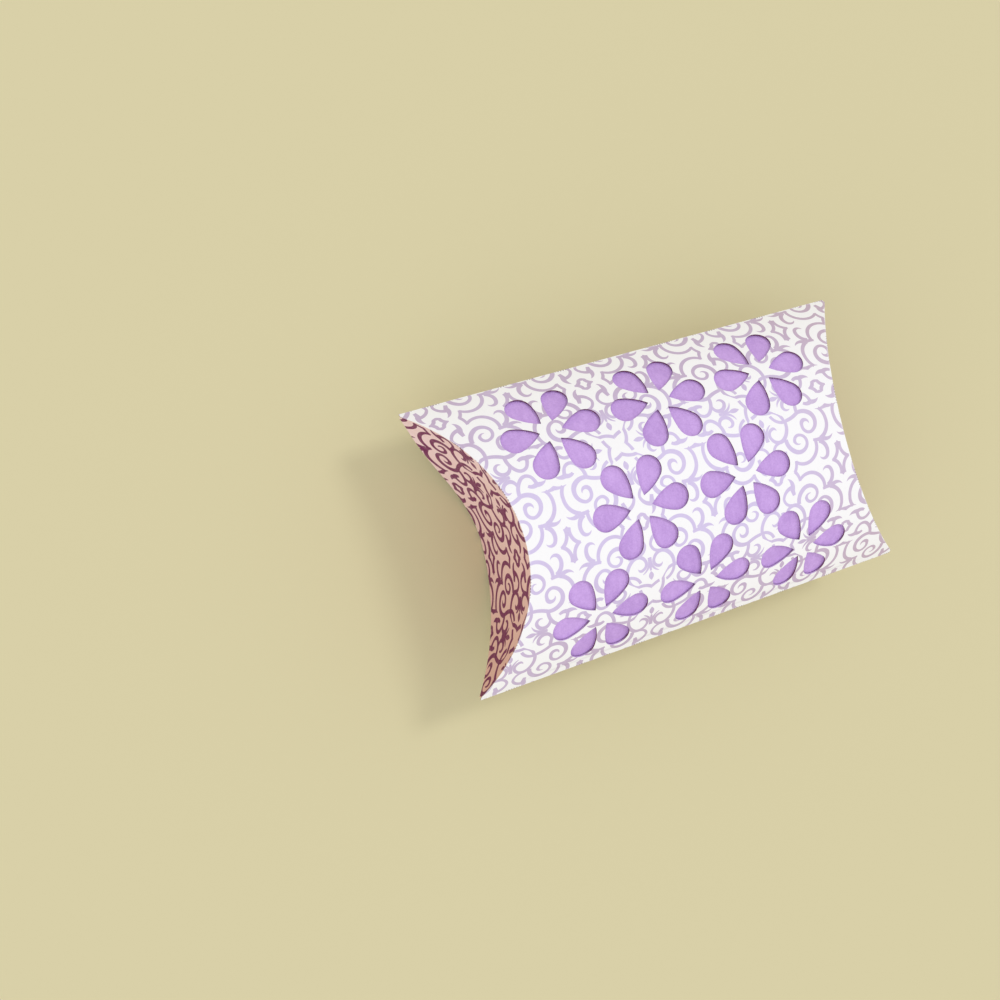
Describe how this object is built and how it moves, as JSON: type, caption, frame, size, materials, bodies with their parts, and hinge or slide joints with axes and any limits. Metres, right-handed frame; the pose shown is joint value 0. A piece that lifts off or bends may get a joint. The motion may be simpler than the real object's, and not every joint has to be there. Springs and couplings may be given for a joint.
{
  "type": "pillow box",
  "caption": "Bowed gift box of folded card with curved end flaps, flower cut-outs in the front and a coloured liner showing through them.",
  "frame": {"origin": "middle of the back panel's crown, on which the box lies", "axes": "+X along the side folds, +Y across the box, +Z out of the front panel"},
  "size_m": [0.1546, 0.09, 0.043],
  "materials": {
    "printed_card": "matt white card printed with lilac scrollwork",
    "flap_card": "matt tan card printed with burgundy scrollwork",
    "liner_card": "matt purple card with a fine fibre grain",
    "tape": "matt double-sided tape"
  },
  "bodies": {
    "sleeve": {"front_panel": "printed_card", "back_panel": "printed_card", "glue_tab": "printed_card", "seam_tape": "tape", "liner": "liner_card", "liner_tape": "tape"},
    "left_outer": {"left_outer_flap": "flap_card"},
    "left_inner": {"left_inner_flap": "flap_card"},
    "right_outer": {"right_outer_flap": "flap_card"},
    "right_inner": {"right_inner_flap": "flap_card"}
  },
  "joints": [
    {"name": "left_outer_crease", "type": "hinge", "parent": "sleeve", "child": "left_outer", "pos_m": [-0.057, 0, 0.043], "axis": [0, 1, 0], "range_deg": [0, 90]},
    {"name": "left_inner_crease", "type": "hinge", "parent": "sleeve", "child": "left_inner", "pos_m": [-0.05595, 0, 0], "axis": [0, -1, 0], "range_deg": [0, 90]},
    {"name": "right_outer_crease", "type": "hinge", "parent": "sleeve", "child": "right_outer", "pos_m": [0.057, 0, 0.043], "axis": [0, -1, 0], "range_deg": [0, 90]},
    {"name": "right_inner_crease", "type": "hinge", "parent": "sleeve", "child": "right_inner", "pos_m": [0.05595, 0, 0], "axis": [0, 1, 0], "range_deg": [0, 90]}
  ],
  "couplings": [
    {"joint": "left_inner_crease", "follows": "left_outer_crease", "ratio": 1},
    {"joint": "right_inner_crease", "follows": "right_outer_crease", "ratio": 1}
  ]
}
